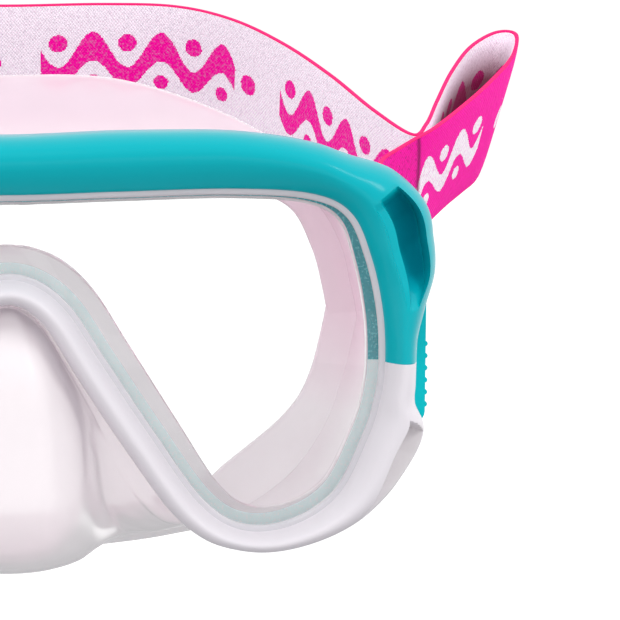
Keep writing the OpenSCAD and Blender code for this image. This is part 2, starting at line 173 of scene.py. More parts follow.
# ---------------------------------------------------------------------------------------------------
# Materials
# ---------------------------------------------------------------------------------------------------
class Nodes:
    """A short hand for building one node material."""

    def __init__(self, name):
        self.material = bpy.data.materials.new(name)
        self.material.use_nodes = True
        self.tree = self.material.node_tree
        self.shader = self.tree.nodes["Principled BSDF"]

    def set(self, **values):
        """Values that are the same all over, straight on the shader."""
        for key, value in values.items():
            self.shader.inputs[key.replace("_", " ")].default_value = value

    def add(self, kind, **inputs):
        node = self.tree.nodes.new(kind)
        for key, value in inputs.items():
            self.feed(node, key, value)
        return node

    def feed(self, node, key, value):
        """Sets or links one input, named by its label or as i0, i1 and so on by its place."""
        socket = node.inputs[int(key[1:])] if key[0] == "i" and key[1:].isdigit() else node.inputs[key]
        if isinstance(value, bpy.types.NodeSocket):
            self.tree.links.new(value, socket)
        else:
            socket.default_value = value

    def math(self, operation, a, b=0.0, c=0.0):
        node = self.add("ShaderNodeMath", i0=a, i1=b, i2=c)
        node.operation = operation
        return node.outputs[0]

    def mix(self, factor, a, b):
        node = self.tree.nodes.new("ShaderNodeMix")
        node.data_type = "RGBA"
        for key, value in ((0, factor), (6, a), (7, b)):
            if isinstance(value, bpy.types.NodeSocket):
                self.tree.links.new(value, node.inputs[key])
            else:
                node.inputs[key].default_value = value
        return node.outputs[2]

    def noise(self, scale, detail):
        place = self.add("ShaderNodeTexCoord").outputs["Object"]
        return self.add("ShaderNodeTexNoise", Scale=scale, Detail=detail, Vector=place).outputs["Fac"]

    def attribute(self, name):
        """A number stored on the mesh's points."""
        node = self.add("ShaderNodeAttribute")
        node.attribute_name = name
        return node.outputs["Fac"]

    def bump(self, height, strength, distance):
        node = self.add("ShaderNodeBump", Height=height, Strength=strength, Distance=distance)
        self.tree.links.new(node.outputs[0], self.shader.inputs["Normal"])

    def link(self, output, key):
        self.tree.links.new(output, self.shader.inputs[key])


def rgba(r, g, b):
    """An sRGB colour from 0 to 255 as linear RGBA."""
    def linear(c):
        c /= 255.0
        return c / 12.92 if c <= 0.04045 else ((c + 0.055) / 1.055) ** 2.4
    return (linear(r), linear(g), linear(b), 1.0)


def moulded(name, colour, deep, roughness, coat, grain=2600, strength=0.06, painted_pit_shade=None):
    """Injection-moulded plastic: slow colour drift, fine orange peel and uneven gloss; a pit colour, where
    given, is painted shade laid over the slot and the scoop.
    """
    n = Nodes(name)
    n.set(Roughness=roughness, Coat_Weight=coat, Coat_Roughness=0.14, Specular_IOR_Level=0.08)
    drift = n.noise(45, 3)
    tone = n.mix(n.math("MULTIPLY", drift, 0.35), colour, deep)
    # painted shade: the recess numbers darken the colour towards the pit colour
    if painted_pit_shade:
        tone = n.mix(n.attribute("recess"), tone, painted_pit_shade)
    n.link(tone, "Base Color")
    fine = n.noise(grain, 2)
    n.link(n.math("MULTIPLY_ADD", fine, 0.08, roughness - 0.04), "Roughness")
    n.bump(fine, strength, 0.00004)
    return n.material


def steel(name, colour, roughness):
    """Drawn metal with fine streaks in tone and gloss."""
    n = Nodes(name)
    n.set(Metallic=1.0, Roughness=roughness)
    streak = n.noise(900, 4)
    n.link(n.mix(streak, colour, (colour[0] * 0.8, colour[1] * 0.8, colour[2] * 0.82, 1)), "Base Color")
    n.link(n.math("MULTIPLY_ADD", streak, 0.15, roughness - 0.05), "Roughness")
    n.bump(streak, 0.08, 0.00003)
    return n.material


def glass():
    """Clear glass with a trace of green and the faintest uneven polish."""
    n = Nodes("tempered_glass")
    n.set(Base_Color=(0.975, 0.996, 0.992, 1), Roughness=0.0, IOR=1.5, Transmission_Weight=1.0)
    smear = n.noise(60, 2)
    n.link(n.math("MULTIPLY", smear, 0.004), "Roughness")
    return n.material


STRAP_REFLECTION_PINK = rgba(240, 176, 208)     # the strap's pink, painted on the clear silicone as its reflected light


def silicone(name, colour, milky, transmission, roughness, painted_glow):
    """Clear silicone with a milky haze and a faint glow painted in as emission, standing in for light
    carried along inside it.
    """
    n = Nodes(name)
    n.set(IOR=1.14, Transmission_Weight=transmission, Roughness=roughness, Coat_Weight=0.2,
          Coat_Roughness=0.12, Emission_Strength=painted_glow)
    cloud = n.noise(70, 3)
    # painted reflection: the tone moves toward the strap's pink by the point numbers
    tone = n.mix(n.attribute("painted_strap_reflection"), n.mix(cloud, colour, milky), STRAP_REFLECTION_PINK)
    n.link(tone, "Base Color")
    # painted glow: the tone is also emitted, to lift the silicone's shade
    n.link(tone, "Emission Color")
    fine = n.noise(1500, 2)
    n.link(n.math("MULTIPLY_ADD", cloud, 0.1, roughness - 0.05), "Roughness")
    n.bump(fine, 0.05, 0.00005)
    return n.material


def speckled(name, colour, fleck):
    """The frame's lip seen through clear silicone: its colour with fine pale flecks, given a faint painted
    glow as emission.
    """
    n = Nodes(name)
    # painted glow: the band's tone is also emitted to brighten it behind the glass
    n.set(Roughness=0.3, Specular_IOR_Level=0.3, Emission_Strength=0.22)
    fine = n.noise(1900, 3)
    flecks = n.math("MULTIPLY", n.math("GREATER_THAN", fine, 0.58), 0.45)
    tone = n.mix(flecks, colour, fleck)
    n.link(tone, "Base Color")
    n.link(tone, "Emission Color")
    return n.material


# The pit colours are painted shade in the frame's slot and scoop.
TEAL = moulded("teal_plastic", rgba(0, 178, 190), rgba(0, 169, 181), 0.32, 0.2, painted_pit_shade=rgba(0, 150, 170))
WHITE = moulded("white_plastic", rgba(232, 227, 233), rgba(226, 221, 228), 0.34, 0.12,
                painted_pit_shade=rgba(212, 206, 206))
CYAN = moulded("cyan_plastic", rgba(0, 206, 214), rgba(0, 196, 206), 0.35, 0.05, 1800, 0.12)
DARK = moulded("dark_cyan_plastic", rgba(0, 134, 148), rgba(0, 120, 134), 0.42, 0.05, 1500, 0.2)
STEEL = steel("steel", (0.72, 0.73, 0.75, 1), 0.28)
SPRING = steel("spring_steel", (0.6, 0.61, 0.64, 1), 0.22)
GLASS = glass()
# The last number of each silicone is its painted glow.
SILICONE = silicone("clear_silicone", rgba(243, 237, 240), rgba(237, 231, 234), 0.52, 0.24, 0.09)
SILICONE_BEAD = silicone("clear_silicone_bead", rgba(236, 231, 237), rgba(222, 220, 226), 0.3, 0.2, 0.03)
BAND_TEAL = speckled("rim_band_teal", rgba(0, 146, 160), rgba(110, 210, 216))
BAND_PALE = speckled("rim_band_pale", rgba(230, 240, 243), rgba(252, 254, 255))


def paint(obj, material):
    """Gives a piece one material."""
    obj.data.materials.clear()
    obj.data.materials.append(material)


# ---------------------------------------------------------------------------------------------------
# Window frame
# ---------------------------------------------------------------------------------------------------
# The frame's section along the outline: the width of its face (listed at half steps), how far back its
# outer edge lies, and where its crest lies across it, as a share of the width.
FACE = [10.3, 10.4, 10.5, 10.3, 10, 9.4, 8.8, 8.7, 11.2, 13.2, 12.6, 11.3, 8.6, 6.6, 6.2, 6.4, 7.1,
        9.9, 10.1, 8.9, 6.8, 5.3, 4.4, 4, 3.9, 4.4, 4.8, 5, 5.1, 5.1, 5, 4.9, 4.8, 4.7, 4.6, 4.6, 4.6]
EDGE = [2.2, 2.2, 2.4, 4, 6.2, 7, 6, 5, 6, 6.2, 4, 2] + [1.5] * 7
RIDGE = [0.58, 0.58, 0.58, 0.52, 0.36, 0.27, 0.42, 0.5, 0.46, 0.4] + [0.5] * 9
CREST_H = 5.0            # the crest and the face's inner edge stand this far in front of the glass
INNER_H = 1.3
FRAME_T = 10.0           # depth behind the front of the glass
BACK_ROUND = 1.2         # radius of the outer rear edge
LIP = [0.2, 0.2, 0.2, 0.3, 0.7, 1.2] + [1.4] * 13     # how far the rear lip reaches in under the glass
LIP_FRONT = 6.7
RIM_OUT = 1.9            # depth of the channel that holds the skirt's rim
# Ear slot and lower scoop: where they lie along the outline, across the face, and how deep they go.
SLOT_S = [4.1, 4.22, 4.5, 5.0, 5.45, 5.75, 6.0]
SLOT_IN = [0.3, 0.29, 0.27, 0.25, 0.3, 0.37, 0.46]
SLOT_OUT = [0.8, 0.83, 0.83, 0.82, 0.84, 0.8, 0.68]
SLOT_D = [0, 5.6, 7.6, 8.0, 6.2, 2.2, 0]
SLOT_ROWS = [0, 0.03, 0.1, 0.24, 0.28, 0.32, 0.45, 0.58, 0.7, 0.8, 0.88, 0.94, 0.975]
SLOT_STEP = [0, 0.03, 0.1, 0.24, 0.32, 0.58, 0.8, 0.94, 0.975, 1]      # across the slot: a ledge, then
SLOT_DIP = [0, 0.13, 0.16, 0.19, 0.88, 1, 1, 0.9, 0.3, -0.04]          # the floor, as shares of SLOT_D
SCOOP_S = [8.35, 8.55, 9.0, 9.4, 9.7, 10.1]
SCOOP_IN = [0.62, 0.56, 0.5, 0.55, 0.66, 0.9]
SCOOP_D = [0, 4.6, 4.2, 3.2, 2.0, 0]
FRAME_STEPS = 24         # stations to each step of the outline


def soft(x, knots, values, reach):
    """Linear interpolation rounded off within reach of each knot."""
    return sum(np.interp(x + d, knots, values) for d in np.linspace(-reach, reach, 9)) / 9


def face_height(q, edge, ridge):
    """How far back the face lies at the share q of its width, with a rounded crest at ridge."""
    inner = np.clip(q / ridge, 0, 1)
    outer = np.clip((q - ridge) / (1 - ridge), 0, 1)
    return np.where(q < ridge, -INNER_H - (CREST_H - INNER_H) * (1 - (1 - inner) ** 1.7),
                    -CREST_H + (edge + CREST_H) * (1 - np.sqrt(1 - outer ** 2.3)))


def painted_recess_shade(slot, scoop, across):
    """How far a point lies in the slot or the scoop, from 0 to 1, for the material's painted shade there."""
    in_slot = np.clip(slot / 5 - 0.2, 0, 1) * np.interp(across, [0.24, 0.36, 0.88, 0.96], [0, 1, 1, 0], 0, 0)
    in_scoop = np.clip(scoop / 3, 0, 1) * np.interp(across, [0, 0.1, 1], [0, 0.5, 0.5], 0, 0)
    return in_slot + in_scoop


def frame_profile(s):
    """Cross-sections of the frame at s: outward u, back v and painted recess shade by station and row."""
    # p runs across the face from 0 at the opening to 1 at the outer edge. The slot and the scoop lie
    # between p_in and p_out.
    fold = np.minimum(s % TURNS, -s % TURNS)
    w, edge, ridge = (table(t, s)[:, None] for t in (FACE, EDGE, RIDGE))
    p_in = soft(fold, SLOT_S + SCOOP_S, SLOT_IN + SCOOP_IN, 0.2)[:, None]
    p_out = soft(fold, SLOT_S + [SEAM], SLOT_OUT + [0.9], 0.2)[:, None]
    slot = soft(fold, SLOT_S, SLOT_D, 0.03)[:, None]
    scoop = np.interp(fold, SCOOP_S, SCOOP_D, 0, 0)[:, None]
    lead = np.linspace(0, 1, 15)[None, :-1] * p_in
    middle = p_in + (p_out - p_in) * np.array(SLOT_ROWS)[None, :]
    tail = p_out + (1 - p_out) * (1 - (1 - np.linspace(0, 1, 11)) ** 1.6)[None, :]
    p = np.concatenate([lead, middle, tail], 1)
    across = (p - p_in) / np.maximum(p_out - p_in, 1e-6)

    v = face_height(p, edge, ridge) + slot * np.interp(across, SLOT_STEP, SLOT_DIP)
    ledge = face_height(p_in, edge, ridge) + scoop * (0.55 + 0.45 * smooth(across * 6)) + 1.2 * (p - p_in)
    v = np.where((scoop > 0.05) & (across > 0.02), np.maximum(v, ledge), v)
    v = np.minimum(v, np.maximum(edge, 0.1))

    one = np.ones_like(w)
    inner_u = np.concatenate([0 * w, 0 * w + 0.03, 0 * w + 0.12], 1)
    inner_v = np.concatenate([0 * w - 0.9, 0 * w - INNER_H + 0.25, 0 * w - INNER_H + 0.06], 1)
    turn = np.radians([0, 30, 60, 90])[None, :]
    back_u = w - BACK_ROUND + BACK_ROUND * np.cos(turn)
    back_v = FRAME_T - BACK_ROUND + BACK_ROUND * np.sin(turn) + 0 * w
    lip = table(LIP, s)[:, None]
    rest_u = np.concatenate([w * 0.5, 0.2 - lip, -lip, -lip, 0.2 - lip, RIM_OUT * one, RIM_OUT * one], 1)
    rest_v = np.concatenate([FRAME_T * one, FRAME_T * one, FRAME_T * one - 0.2, (LIP_FRONT + 0.2) * one,
                             LIP_FRONT * one, LIP_FRONT * one, -0.9 * one], 1)
    painted_shade = painted_recess_shade(slot, scoop, across)[:, 1:]
    return (np.concatenate([inner_u, (p * w)[:, 1:], back_u, rest_u], 1),
            np.concatenate([inner_v, v[:, 1:], back_v, rest_v], 1),
            np.concatenate([inner_u * 0, painted_shade, back_u * 0, rest_u * 0], 1))


def ring_points(s, u, v):
    """Plan points at outline parameters s and section offsets u, v, each (stations, rows)."""
    base, n = outline(s), outward(s)
    x = base[:, 0:1] + u * n[:, 0:1]
    z = base[:, 1:2] + u * n[:, 1:2]
    return np.stack([x, v, z], 2)


def stations(first, last, per):
    """Stations from first to last, with extra ones where the slot and the scoop start and end."""
    s = np.linspace(first, last, int((last - first) * per) + 1)
    extra = []
    for turn in (0, TURNS):
        for k in SLOT_S[:2] + SLOT_S[-1:] + SCOOP_S[:2] + SCOOP_S[-1:]:
            extra += [k - turn, turn - k, turn + k]
    extra = [k for k in extra if first < k < last]
    s = np.unique(np.round(np.concatenate([s, extra]), 4))
    return s[np.concatenate([[True], np.diff(s) > 0.004])]


def frame_piece(name, node, material, first, last):
    """One half of the frame between two outline parameters, its cut ends drawn in to round their edges."""
    s = stations(first, last, FRAME_STEPS)
    rounded = 0.012
    s = np.concatenate([[s[0], s[0] + rounded], s[1:-1], [s[-1] - rounded, s[-1]]])
    u, v, painted_shade = frame_profile(s)
    for end in (0, -1):
        mid_u, mid_v = u[end].mean(), v[end].mean()
        u[end] = mid_u + (u[end] - mid_u) * 0.97
        v[end] = mid_v + (v[end] - mid_v) * 0.985
    obj = mesh_object(name, ring_points(s, u, v), False, True, True, 34)
    # the painted shade of the slot and the scoop, stored on the points
    point_numbers(obj, "recess", painted_shade)
    paint(obj, material)
    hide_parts(node)


frame_piece("frame_upper_shell", "frame_upper", TEAL, -SEAM, SEAM)
frame_piece("frame_lower_shell", "frame_lower", WHITE, SEAM, TURNS - SEAM)


# ---------------------------------------------------------------------------------------------------
# Glass
# ---------------------------------------------------------------------------------------------------
def window_glass():
    """The pane, with its edges ground off."""
    s = np.linspace(0, TURNS, TURNS * 16, endpoint=False)
    rows = np.array([(GLASS_OUT - 0.35, 0.0), (GLASS_OUT - 0.1, 0.08), (GLASS_OUT, 0.35),
                     (GLASS_OUT, GLASS_T - 0.35), (GLASS_OUT - 0.1, GLASS_T - 0.08),
                     (GLASS_OUT - 0.35, GLASS_T)])
    u, v = (np.tile(column, (len(s), 1)) for column in rows.T)
    grid = ring_points(s, u, v).transpose(1, 0, 2)
    obj = mesh_object("window_glass", grid, False, True, True, 30)
    paint(obj, GLASS)
    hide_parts("lens")


window_glass()

# ---------------------------------------------------------------------------------------------------
# Skirt
# ---------------------------------------------------------------------------------------------------
SKIRT_T = 1.8            # wall
BEAD_IN = 1.1            # the front bead covers this much of the glass
FLANGE_T = 0.8           # lips of the face flange
RIM_GAP = 0.1            # between the rim and the frame
RIM_REAR = GLASS_T + 2.6
WALL_STEPS = 7
SKIRT_STEPS = 14         # stations to each step of the outline
SEAL_DEPTH = -FRONT_Y / MM
SEAL_BACK = 35.5         # how far back the seal line lies at the temples
# The seal line as (x, y, z) at each outline point, and how far its outer and inner lips reach.
SEAL = [[0, 34, 33], [18, 34.5, 32.6], [34, 35.5, 29.6], [47, 36, 25.2], [56, 36, 19.6], [60.6, 36, 12],
        [62.2, 35.5, 4], [62, 35, -4], [60.8, 34.5, -11], [58.4, 34, -18], [53.5, 34, -26],
        [46.5, 33, -32], [38.5, 32, -36], [30.5, 31, -38], [24.5, 30, -38.8], [18.5, 29, -39.2],
        [12.5, 28, -39.5], [6, 27.5, -39.8], [0, 27.3, -40]]
OUTER_REACH = [12.5, 12.5, 11, 9, 6.5, 5, 4.4, 4.2, 4.2, 4.6, 5, 4.6, 4, 3.4, 3.3, 3.3, 3.3, 3.3, 3.3]
INNER_REACH = [8, 8, 7.5, 6, 4.6, 5.4, 6, 6, 5.8, 6.4, 8, 8, 6, 5, 4.5, 4, 4, 4, 4]
# The wall's points between rim and seal beside the nose, for the last outline points. Elsewhere the
# wall runs straight.
NOSE_WALLS = [
    [[29.2, 12, -33], [28.4, 14, -34.2], [27.8, 16.5, -35.2], [27.2, 19, -36.2], [27.2, 21.5, -37],
     [27.6, 24.5, -37.6]],
    [[19.8, 12, -20.5], [18.4, 12.8, -23], [17.2, 14.2, -26], [17, 16, -30], [18, 19, -34],
     [20.2, 23.5, -37.4]],
    [[10.9, 11.6, -6.5], [11.4, 6.4, -9.5], [12.4, 4, -15], [13.2, 4, -24], [13.5, 5.6, -33],
     [15.2, 14, -38.6]],
    [[5.8, 11.6, 1.6], [6.4, 4, -0.4], [7.6, -1.4, -7], [8.8, -1.6, -20], [9.6, -0.8, -33.5],
     [12, 11, -40.4]],
    [[2.4, 11.6, 4.8], [2.7, 4.5, 3.2], [4, -4.2, -4], [5.4, -4.8, -18], [6, -3.6, -35], [6.6, 9, -41.6]],
    [[0, 11.6, 5.6], [0, 5, 4.2], [0, -4.2, -3], [0, -5.2, -18], [0, -4.2, -35.6], [0, 8.4, -42]]]
NOSE = HALF + 1 - len(NOSE_WALLS)
ARCH = [0] * 11 + [0.4, 1, 1.6, 2.2, 2.5, 2.5, 2.5, 2.5]      # extra thickness of the bead over the arch
BEAD_COLUMNS = 6         # the last faces round the section are bead, and the one before them is the band
PINK_S = [0, 2.6, 4.2, 6.4, 8.8]                              # how much painted pink from the strap the walls take along the outline
STRAP_REFLECTION_WALL = [0.45, 0.45, 0.85, 0.85, 0]


def skirt_columns():
    """At each outline point, the wall's middle line from the rim past the points between to the seal."""
    scale = np.array([SCALE_X, 1.0, SCALE_Z])
    rim_middle = np.array(LIP)[:, None] + RIM_GAP + SKIRT_T / 2
    points = np.arange(HALF + 1, dtype=float)
    start = ring_points(points, -rim_middle, np.full((HALF + 1, 1), FRAME_T + 0.5))[:, 0]
    seal = np.array(SEAL) * scale
    walls = []
    for i in range(HALF + 1):
        if i < NOSE:
            walls.append([start[i] + (seal[i] - start[i]) * j / WALL_STEPS for j in range(1, WALL_STEPS)])
        else:
            walls.append([np.array(point) * scale for point in NOSE_WALLS[i - NOSE]])
    return np.concatenate([start[:, None], np.array(walls), seal[:, None]], 1)


def skirt_wall(s):
    """The wall's middle surface and its normals, evened out so that the nose's corners stay round."""
    columns = skirt_columns()
    middle = np.stack([spline(both_halves(columns[:, j], True), s, True) for j in range(WALL_STEPS + 1)], 1)
    rows = np.linspace(0, WALL_STEPS, 6 * WALL_STEPS + 1)
    wall = np.stack([spline(line, rows, False) for line in middle], 0)
    along = np.roll(wall, -1, 0) - np.roll(wall, 1, 0)
    normal = unit(np.cross(along, np.gradient(wall, axis=1)))
    for _ in range(12):
        normal = unit(normal + 0.5 * np.roll(normal, 1, 0) + 0.5 * np.roll(normal, -1, 0))
    return wall, normal


def face_flange(s, seal, outer_wall, inner_wall):
    """The two lips on the face, from the wall's outer side round both lips to its inner side."""
    along = np.roll(seal, -1, 0) - np.roll(seal, 1, 0)
    out = unit(np.stack([-along[:, 2], 0 * along[:, 0], along[:, 0]], 1))
    back = np.array([0.0, 1.0, 0.0])
    tip = seal + table(OUTER_REACH, s)[:, None] * out
    tip[:, 1] += SEAL_DEPTH - SEAL_BACK - (35 - seal[:, 1]) * 0.25
    inner = seal - table(INNER_REACH, s)[:, None] * out + 2.6 * back
    bend_out = 0.5 * (seal + tip) - 0.8 * out
    bend_in = 0.5 * (seal + inner) + back
    root = SKIRT_T * 0.4 * out
    half_wall = SKIRT_T / 2 * back
    half_lip = 0.5 * FLANGE_T * back
    keys = np.stack([outer_wall, seal + root, bend_out + root, tip + 0.5 * FLANGE_T * out,
                     tip - 0.5 * FLANGE_T * out + half_lip, bend_out - root, seal + half_wall,
                     bend_in + half_lip, inner + half_lip, inner - half_lip, bend_in - half_wall,
                     seal - root, inner_wall], 1)
    rows = np.linspace(0, 12, 61)
    return np.stack([spline(line, rows, False) for line in keys], 0)[:, 1:-1]


def rim_points(s, pairs):
    """Plan points of the rim for (u, v) pairs of its section, at the outline parameters s."""
    u = np.stack([pair[0] + 0 * s for pair in pairs], 1)
    v = np.stack([pair[1] + 0 * s for pair in pairs], 1)
    return ring_points(s, u, v)


def rim_sections(s):
    """The rim's (u, v) pairs: its side in the frame's channel, and its front with the glass's groove."""
    lip = table(LIP, s)
    inner = lip + RIM_GAP + SKIRT_T + 0.1 + table(ARCH, s)
    groove = GLASS_OUT + 0.05
    outer = [(RIM_OUT - RIM_GAP, -0.8), (RIM_OUT - RIM_GAP, RIM_REAR), (-lip - RIM_GAP, RIM_REAR),
             (-lip - RIM_GAP, FRAME_T - 1)]
    front = [(-0.3, -1.0), (-0.8, -0.8), (-BEAD_IN, -0.45), (-BEAD_IN, -0.05), (groove, -0.05),
             (groove, GLASS_T + 0.05), (-1.4 - 1.05 * lip, GLASS_T + 0.05), (0.3 - inner, GLASS_T + 0.05),
             (-inner, GLASS_T + 0.5), (-inner, RIM_REAR - 0.6)]
    return outer, front


def skirt():
    """The silicone skirt as one closed skin, with the rim's bead and glowing coloured band and the strap's
    pink painted on as reflected light.
    """
    s = np.linspace(0, TURNS, TURNS * SKIRT_STEPS, endpoint=False)
    wall, normal = skirt_wall(s)
    side_out = wall + SKIRT_T / 2 * normal
    side_in = wall - SKIRT_T / 2 * normal
    flange = face_flange(s, wall[:, -1], side_out[:, -2], side_in[:, -2])
    outer, front = rim_sections(s)
    grid = np.concatenate([rim_points(s, outer), side_out[:, 1:-2], flange, side_in[:, -3:0:-1],
                           rim_points(s, front[::-1])], 1)
    count = grid.shape[1]
    obj = mesh_object("skirt_soft", grid, True, True, False, 50)
    paint(obj, SILICONE)

    fold = np.minimum(s, TURNS - s)
    across = np.zeros(count)
    skin = count - len(outer) - len(front)
    across[len(outer):-len(front)] = 0.25 + 0.75 * smooth(np.abs(np.linspace(-1.3, 1.3, skin)))
    # painted reflection of the strap's pink, strongest mid-wall, stored on the points
    point_numbers(obj, "painted_strap_reflection", np.interp(fold, PINK_S, STRAP_REFLECTION_WALL)[:, None] * across[None, :])
    for material in (SILICONE_BEAD, BAND_TEAL, BAND_PALE):
        obj.data.materials.append(material)
    for poly in obj.data.polygons:
        row, column = divmod(poly.index, count)
        if column >= count - BEAD_COLUMNS:
            poly.material_index = 1
        elif column == count - BEAD_COLUMNS - 1:
            poly.material_index = 2 if fold[row] < SEAM else 3
    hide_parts("skirt")


skirt()

# ---------------------------------------------------------------------------------------------------
# Strap
# ---------------------------------------------------------------------------------------------------
STRAP_W = 28.0
STRAP_T = 1.6
SWIVEL = (22.0, -1.0)    # (y, z) of the line that the strap swings about
TILT = math.radians(22.5)
BAR = (SIDE_X + 4.4, 24.0)
BAR_TURN = 1.6 + 0.05 + STRAP_T / 2      # bar radius, gap and half the webbing
STRAP_STEPS = 12
# The route as (x, along the strap) from the middle of the back, round the pull loop, to the bar and its
# tail. The loop flares, so its upper and lower edges have routes of their own.
BACK = [[0, 126], [22, 127], [38, 125.6], [50, 118], [60, 104.5], [68.5, 87.5]]
LOOP_UPPER = [[75.6, 69.5], [82, 57.6], [85.6, 62.6], [89.4, 74], [94.6, 89], [100.8, 102.6],
              [107.8, 110.8], [112, 109.4], [109, 97], [101.4, 82.5], [93.2, 69.5], [86.8, 60.4],
              [82.8, 56], [78.5, 51]]
LOOP_LOWER = [[76, 73], [82.4, 64.4], [85.6, 70.4], [88.6, 80.4], [92.2, 91.4], [96.6, 98.8],
              [101, 101.2], [103.6, 98], [101.8, 92.4], [98.2, 87], [93.4, 80], [88, 71], [84, 62.8],
              [79, 54]]
FRONT_RUN = ([[74.6, 46], [73, 40], [BAR[0] + BAR_TURN, BAR[1] + 8], [BAR[0] + BAR_TURN, BAR[1] + 3]]
             + [[BAR[0] + BAR_TURN * math.cos(a), BAR[1] + BAR_TURN * math.sin(a)]
                for a in np.radians([0, -36, -72, -108, -144, -180])]
             + [[BAR[0] - BAR_TURN, BAR[1] + 4], [BAR[0] - BAR_TURN, BAR[1] + 9]])


def swing_to_plan(x, along, across):
    """Swing-frame coordinates (x, along the strap, across it) as plan points."""
    y = SWIVEL[0] + along * math.cos(TILT) - across * math.sin(TILT)
    z = SWIVEL[1] + along * math.sin(TILT) + across * math.cos(TILT)
    return np.stack([x, y, z], -1)


def strap_line(loop):
    """The whole route of one edge, from tail to tail, with the right half as the left one's mirror."""
    half = np.array(BACK + loop + FRONT_RUN, float)
    other = half[:0:-1].copy()
    other[:, 0] *= -1
    return np.concatenate([other, half])


def in_steps(n, value, step, wobble):
    """A length that goes up in woven steps, with a ragged edge."""
    whole = n.math("FLOOR", n.math("DIVIDE", value, step))
    return n.math("ADD", n.math("MULTIPLY", whole, step), wobble)


def woven_motif(n, along, across):
    """1 on the woven waves and dots and 0 between them, repeated along the webbing."""
    period, wave = 62.0, 15.5
    wobble = n.math("MULTIPLY", n.math("SUBTRACT", n.noise(900, 2), 0.5), 0.5)
    a = in_steps(n, along, 0.3, wobble)
    b = in_steps(n, across, 0.3, wobble)
    local = n.math("SUBTRACT", n.math("WRAP", a, period, 0.0), period / 2)
    swell = n.math("SINE", n.math("MULTIPLY", local, 2 * math.pi / wave))
    crest = n.math("LESS_THAN", n.math("ABSOLUTE", n.math("SUBTRACT", b, n.math("MULTIPLY", swell, 3.8))),
                   n.math("MULTIPLY_ADD", swell, 0.5, 3.0))
    shape = n.math("MULTIPLY", crest, n.math("LESS_THAN", n.math("ABSOLUTE", local), 1.5 * wave))
    dots = [(x, 4.6, 2.1) for x in (-19.4, -3.9, 11.6)]
    dots += [(x, -4.8, 1.7) for x in (-11.6, 3.9, 19.4)] + [(27.5, 0, 2.4)]
    for x, y, radius in dots:
        dx = n.math("SUBTRACT", local, x)
        dy = n.math("SUBTRACT", b, y)
        reach = n.math("SQRT", n.math("ADD", n.math("MULTIPLY", dx, dx), n.math("MULTIPLY", dy, dy)))
        shape = n.math("MAXIMUM", shape, n.math("LESS_THAN", reach, radius))
    return shape


def seam_line(n, along, seams):
    """1 on the two sewn seams, which lie this far from the middle, fading to 0 beside them."""
    away = n.math("ABSOLUTE", n.math("SUBTRACT", n.math("ABSOLUTE", along), seams))
    return n.math("SUBTRACT", 1.0, n.math("SMOOTH_MIN", n.math("DIVIDE", away, 1.4), 1.0, 0.3))


def painted_loop_shade(n, along, across, first, last):
    """Painted shade inside the pull loop between the lengths first and last, from 0 to 0.9, by how deep the
    webbing lies there.
    """
    reach = n.math("ABSOLUTE", along)
    inside = n.math("MULTIPLY", n.math("GREATER_THAN", reach, first), n.math("LESS_THAN", reach, last))
    depth = n.math("DIVIDE", n.math("SUBTRACT", 12.5, n.math("ABSOLUTE", across)), 9.0)
    bottom = n.math("DIVIDE", n.math("SUBTRACT", last, reach), 12.0)
    painted_shade = n.math("MULTIPLY", inside, n.math("MINIMUM", n.math("MAXIMUM", depth, 0.0), 0.9))
    return n.math("MULTIPLY", painted_shade, n.math("MINIMUM", bottom, 1.0))


def jacquard(name, ground, motif, seams, plain=False, pocket=None):
    """Woven elastic webbing in metre UVs: bold woven shapes, ribs, picks, selvages and sewn seams, with a
    faint painted glow.

    plain leaves the shapes out. pocket gives the two lengths between which the webbing lines the inside of
    the pull loop, where shade is painted in.
    """
    n = Nodes(name)
    # painted glow: the webbing's tone is also emitted
    n.set(Roughness=0.9, Sheen_Weight=0.06, Sheen_Roughness=0.5, Specular_IOR_Level=0.08,
          Emission_Strength=0.16)
    split = n.add("ShaderNodeSeparateXYZ", Vector=n.add("ShaderNodeUVMap").outputs[0])
    along = n.math("MULTIPLY", split.outputs[0], 1000.0)
    across = n.math("MULTIPLY", split.outputs[1], 1000.0)
    shape = 0.0 if plain else woven_motif(n, along, across)
    rib = n.math("SINE", n.math("MULTIPLY", across, 2 * math.pi / 0.9))
    pick = n.math("SINE", n.math("MULTIPLY", along, 2 * math.pi / 0.7))
    weave = n.math("MULTIPLY", rib, pick)
    fuzz = n.noise(1700, 4)
    dark = (ground[0] * 0.5, ground[1] * 0.42, ground[2] * 0.5, 1)
    grain = n.math("MULTIPLY", n.math("SUBTRACT", fuzz, 0.47), 4.5 if plain else 1.6)
    wear = n.math("MAXIMUM", n.math("ADD", n.math("MULTIPLY", weave, 0.03), grain), 0.0)
    colour = n.mix(n.math("MINIMUM", wear, 0.6), n.mix(shape, ground, motif), dark)
    colour = n.mix(seam_line(n, along, seams), colour, (dark[0] * 0.5, dark[1] * 0.5, dark[2] * 0.5, 1))
    if pocket:
        # painted shade: the loop's inside darkens towards deep magenta
        colour = n.mix(painted_loop_shade(n, along, across, *pocket), colour, rgba(120, 20, 62))
    selvage = n.math("GREATER_THAN", n.math("ABSOLUTE", across), STRAP_W / 2 - 0.3)
    tone = n.mix(selvage, colour, CORAL)
    n.link(tone, "Base Color")
    n.link(tone, "Emission Color")
    relief = n.math("ADD", fuzz, n.math("MULTIPLY", shape, 0.8))
    n.bump(n.math("ADD", n.math("MULTIPLY", weave, 0.5), relief), 0.9 if plain else 0.7, 0.0002)
    return n.material


PINK = rgba(255, 18, 168)
PALE = rgba(253, 240, 252)
CORAL = rgba(255, 40, 120)


